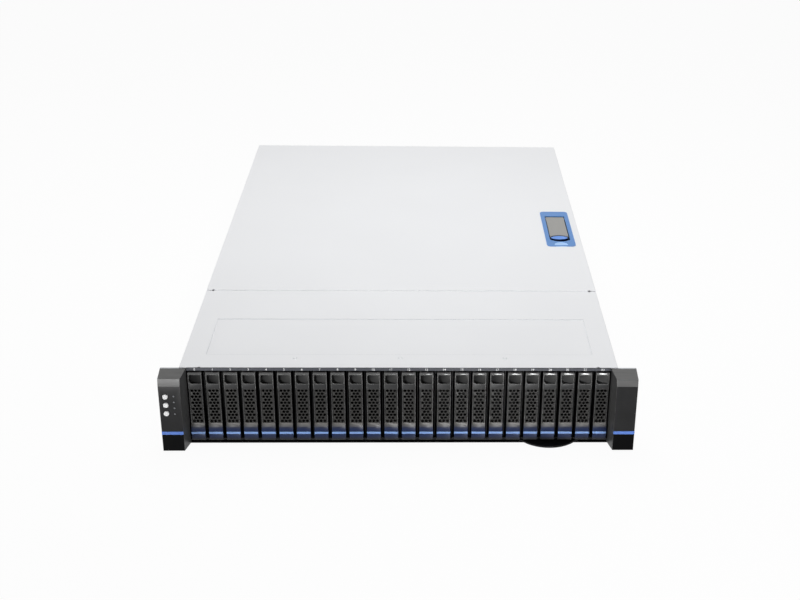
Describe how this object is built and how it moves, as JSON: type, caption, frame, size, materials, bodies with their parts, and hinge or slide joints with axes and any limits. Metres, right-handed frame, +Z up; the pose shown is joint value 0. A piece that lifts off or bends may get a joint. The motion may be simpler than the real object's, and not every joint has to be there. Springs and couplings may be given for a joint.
{
  "type": "rackmount server chassis",
  "caption": "Low rack-mount server chassis with upright hot-swap drive carriers across the front, rack ears, a latched sliding lid and stacked power supplies.",
  "frame": {"origin": "mid width on the underside, in the plane where the ear flanges meet the rack posts", "axes": "+X to the right seen from the front, +Y towards the rear, +Z up"},
  "size_m": [0.4826, 0.7397, 0.0888],
  "materials": {
    "galvanised_steel": "galvanised sheet, fine spangle",
    "cover_steel": "pale satin sheet",
    "cage_black": "black powder coat",
    "carrier_plastic": "black moulded plastic, fine texture",
    "ear_plastic": "dark grey moulded plastic, fine texture",
    "button_white": "white moulded plastic",
    "fan_plastic": "black moulded plastic",
    "board_green": "coated circuit board",
    "psu_metal": "plain sheet",
    "bail_plastic": "black moulded plastic",
    "accent_blue": "blue moulded plastic",
    "latch_blue": "blue moulded plastic",
    "tab_blue": "lighter blue moulded plastic",
    "lever_grey": "warm grey moulded plastic",
    "tag_plastic": "black moulded plastic",
    "light_pipe": "translucent grey plastic",
    "fastener_steel": "zinc plated steel"
  },
  "bodies": {
    "chassis": {"base_pan": "galvanised_steel", "rear_panel": "galvanised_steel", "slot_covers": "galvanised_steel", "front_top_cover": "cover_steel", "chassis_fasteners": "fastener_steel", "drive_cage": "cage_black", "cage_dividers": "cage_black", "backplane": "board_green", "ear_cover_left": "ear_plastic", "ear_cover_right": "ear_plastic", "ear_accent_stripes": "accent_blue", "ear_brackets": "galvanised_steel", "indicator_light_pipes": "light_pipe", "front_panel_board": "board_green", "main_board_standoffs": "fastener_steel", "fan_brackets": "galvanised_steel", "fan_frames": "fan_plastic", "psu_cage": "galvanised_steel"},
    "lid": {"rear_lid": "cover_steel", "latch_bezel": "latch_blue"},
    "drive_carrier_00": {"drive_carrier_00": "carrier_plastic"},
    "drive_carrier_01": {"drive_carrier_01": "carrier_plastic"},
    "drive_carrier_02": {"drive_carrier_02": "carrier_plastic"},
    "drive_carrier_03": {"drive_carrier_03": "carrier_plastic"},
    "drive_carrier_04": {"drive_carrier_04": "carrier_plastic"},
    "drive_carrier_05": {"drive_carrier_05": "carrier_plastic"},
    "drive_carrier_06": {"drive_carrier_06": "carrier_plastic"},
    "drive_carrier_07": {"drive_carrier_07": "carrier_plastic"},
    "drive_carrier_08": {"drive_carrier_08": "carrier_plastic"},
    "drive_carrier_09": {"drive_carrier_09": "carrier_plastic"},
    "drive_carrier_10": {"drive_carrier_10": "carrier_plastic"},
    "drive_carrier_11": {"drive_carrier_11": "carrier_plastic"},
    "drive_carrier_12": {"drive_carrier_12": "carrier_plastic"},
    "drive_carrier_13": {"drive_carrier_13": "carrier_plastic"},
    "drive_carrier_14": {"drive_carrier_14": "carrier_plastic"},
    "drive_carrier_15": {"drive_carrier_15": "carrier_plastic"},
    "drive_carrier_16": {"drive_carrier_16": "carrier_plastic"},
    "drive_carrier_17": {"drive_carrier_17": "carrier_plastic"},
    "drive_carrier_18": {"drive_carrier_18": "carrier_plastic"},
    "drive_carrier_19": {"drive_carrier_19": "carrier_plastic"},
    "drive_carrier_20": {"drive_carrier_20": "carrier_plastic"},
    "drive_carrier_21": {"drive_carrier_21": "carrier_plastic"},
    "drive_carrier_22": {"drive_carrier_22": "carrier_plastic"},
    "drive_carrier_23": {"drive_carrier_23": "carrier_plastic"},
    "power_button": {"power_button": "button_white"},
    "reset_button": {"reset_button": "button_white"},
    "identify_button": {"identify_button": "button_white"},
    "fan_rotor_1": {"fan_rotor_1": "fan_plastic"},
    "fan_rotor_2": {"fan_rotor_2": "fan_plastic"},
    "fan_rotor_3": {"fan_rotor_3": "fan_plastic"},
    "fan_rotor_4": {"fan_rotor_4": "fan_plastic"},
    "latch_lever": {"latch_lever": "lever_grey"},
    "latch_release_tab": {"latch_release_tab": "tab_blue"},
    "information_tag": {"information_tag": "tag_plastic"},
    "psu_1": {"psu_1": "psu_metal"},
    "psu_1_bail": {"psu_1_bail": "bail_plastic"},
    "psu_1_release": {"psu_1_release": "accent_blue"},
    "psu_2": {"psu_2": "psu_metal"},
    "psu_2_bail": {"psu_2_bail": "bail_plastic"},
    "psu_2_release": {"psu_2_release": "accent_blue"}
  },
  "joints": [
    {"name": "bay_00_slide", "type": "slide", "parent": "chassis", "child": "drive_carrier_00", "axis": [0, -1, 0], "range_m": [0, 0.135]},
    {"name": "bay_01_slide", "type": "slide", "parent": "chassis", "child": "drive_carrier_01", "axis": [0, -1, 0], "range_m": [0, 0.135]},
    {"name": "bay_02_slide", "type": "slide", "parent": "chassis", "child": "drive_carrier_02", "axis": [0, -1, 0], "range_m": [0, 0.135]},
    {"name": "bay_03_slide", "type": "slide", "parent": "chassis", "child": "drive_carrier_03", "axis": [0, -1, 0], "range_m": [0, 0.135]},
    {"name": "bay_04_slide", "type": "slide", "parent": "chassis", "child": "drive_carrier_04", "axis": [0, -1, 0], "range_m": [0, 0.135]},
    {"name": "bay_05_slide", "type": "slide", "parent": "chassis", "child": "drive_carrier_05", "axis": [0, -1, 0], "range_m": [0, 0.135]},
    {"name": "bay_06_slide", "type": "slide", "parent": "chassis", "child": "drive_carrier_06", "axis": [0, -1, 0], "range_m": [0, 0.135]},
    {"name": "bay_07_slide", "type": "slide", "parent": "chassis", "child": "drive_carrier_07", "axis": [0, -1, 0], "range_m": [0, 0.135]},
    {"name": "bay_08_slide", "type": "slide", "parent": "chassis", "child": "drive_carrier_08", "axis": [0, -1, 0], "range_m": [0, 0.135]},
    {"name": "bay_09_slide", "type": "slide", "parent": "chassis", "child": "drive_carrier_09", "axis": [0, -1, 0], "range_m": [0, 0.135]},
    {"name": "bay_10_slide", "type": "slide", "parent": "chassis", "child": "drive_carrier_10", "axis": [0, -1, 0], "range_m": [0, 0.135]},
    {"name": "bay_11_slide", "type": "slide", "parent": "chassis", "child": "drive_carrier_11", "axis": [0, -1, 0], "range_m": [0, 0.135]},
    {"name": "bay_12_slide", "type": "slide", "parent": "chassis", "child": "drive_carrier_12", "axis": [0, -1, 0], "range_m": [0, 0.135]},
    {"name": "bay_13_slide", "type": "slide", "parent": "chassis", "child": "drive_carrier_13", "axis": [0, -1, 0], "range_m": [0, 0.135]},
    {"name": "bay_14_slide", "type": "slide", "parent": "chassis", "child": "drive_carrier_14", "axis": [0, -1, 0], "range_m": [0, 0.135]},
    {"name": "bay_15_slide", "type": "slide", "parent": "chassis", "child": "drive_carrier_15", "axis": [0, -1, 0], "range_m": [0, 0.135]},
    {"name": "bay_16_slide", "type": "slide", "parent": "chassis", "child": "drive_carrier_16", "axis": [0, -1, 0], "range_m": [0, 0.135]},
    {"name": "bay_17_slide", "type": "slide", "parent": "chassis", "child": "drive_carrier_17", "axis": [0, -1, 0], "range_m": [0, 0.135]},
    {"name": "bay_18_slide", "type": "slide", "parent": "chassis", "child": "drive_carrier_18", "axis": [0, -1, 0], "range_m": [0, 0.135]},
    {"name": "bay_19_slide", "type": "slide", "parent": "chassis", "child": "drive_carrier_19", "axis": [0, -1, 0], "range_m": [0, 0.135]},
    {"name": "bay_20_slide", "type": "slide", "parent": "chassis", "child": "drive_carrier_20", "axis": [0, -1, 0], "range_m": [0, 0.135]},
    {"name": "bay_21_slide", "type": "slide", "parent": "chassis", "child": "drive_carrier_21", "axis": [0, -1, 0], "range_m": [0, 0.135]},
    {"name": "bay_22_slide", "type": "slide", "parent": "chassis", "child": "drive_carrier_22", "axis": [0, -1, 0], "range_m": [0, 0.135]},
    {"name": "bay_23_slide", "type": "slide", "parent": "chassis", "child": "drive_carrier_23", "axis": [0, -1, 0], "range_m": [0, 0.135]},
    {"name": "lid_slide", "type": "slide", "parent": "chassis", "child": "lid", "axis": [0, 1, 0], "range_m": [0, 0.022]},
    {"name": "latch_lever_hinge", "type": "hinge", "parent": "lid", "child": "latch_lever", "pos_m": [0.1963, 0.416, 0.0865], "axis": [-1, 0, 0], "range_deg": [0, 70]},
    {"name": "latch_tab_slide", "type": "slide", "parent": "lid", "child": "latch_release_tab", "axis": [0, -1, 0], "range_m": [0, 0.003], "stiffness_N_per_m": 300},
    {"name": "power_button_press", "type": "slide", "parent": "chassis", "child": "power_button", "axis": [0, 1, 0], "range_m": [0, 0.001], "stiffness_N_per_m": 400},
    {"name": "reset_button_press", "type": "slide", "parent": "chassis", "child": "reset_button", "axis": [0, 1, 0], "range_m": [0, 0.001], "stiffness_N_per_m": 400},
    {"name": "identify_button_press", "type": "slide", "parent": "chassis", "child": "identify_button", "axis": [0, 1, 0], "range_m": [0, 0.001], "stiffness_N_per_m": 400},
    {"name": "fan_rotor_1_spin", "type": "hinge", "parent": "chassis", "child": "fan_rotor_1", "pos_m": [-0.15787, 0.2162, 0.0424], "axis": [0, 1, 0], "continuous": true},
    {"name": "fan_rotor_2_spin", "type": "hinge", "parent": "chassis", "child": "fan_rotor_2", "pos_m": [-0.05262, 0.2162, 0.0424], "axis": [0, 1, 0], "continuous": true},
    {"name": "fan_rotor_3_spin", "type": "hinge", "parent": "chassis", "child": "fan_rotor_3", "pos_m": [0.05262, 0.2162, 0.0424], "axis": [0, 1, 0], "continuous": true},
    {"name": "fan_rotor_4_spin", "type": "hinge", "parent": "chassis", "child": "fan_rotor_4", "pos_m": [0.15787, 0.2162, 0.0424], "axis": [0, 1, 0], "continuous": true},
    {"name": "psu_1_slide", "type": "slide", "parent": "chassis", "child": "psu_1", "axis": [0, 1, 0], "range_m": [0, 0.185]},
    {"name": "psu_1_bail_hinge", "type": "hinge", "parent": "psu_1", "child": "psu_1_bail", "pos_m": [-0.1891, 0.715, 0.0342], "axis": [1, 0, 0], "range_deg": [0, 90]},
    {"name": "psu_1_release_slide", "type": "slide", "parent": "psu_1", "child": "psu_1_release", "axis": [-1, 0, 0], "range_m": [0, 0.003], "stiffness_N_per_m": 600},
    {"name": "psu_2_slide", "type": "slide", "parent": "chassis", "child": "psu_2", "axis": [0, 1, 0], "range_m": [0, 0.185]},
    {"name": "psu_2_bail_hinge", "type": "hinge", "parent": "psu_2", "child": "psu_2_bail", "pos_m": [-0.1891, 0.715, 0.0757], "axis": [1, 0, 0], "range_deg": [0, 90]},
    {"name": "psu_2_release_slide", "type": "slide", "parent": "psu_2", "child": "psu_2_release", "axis": [-1, 0, 0], "range_m": [0, 0.003], "stiffness_N_per_m": 600},
    {"name": "information_tag_slide", "type": "slide", "parent": "chassis", "child": "information_tag", "axis": [0, -1, 0], "range_m": [0, 0.07]}
  ],
  "couplings": [
    {"joint": "latch_lever_hinge", "follows": "lid_slide", "rad_per_m": 55.5}
  ]
}
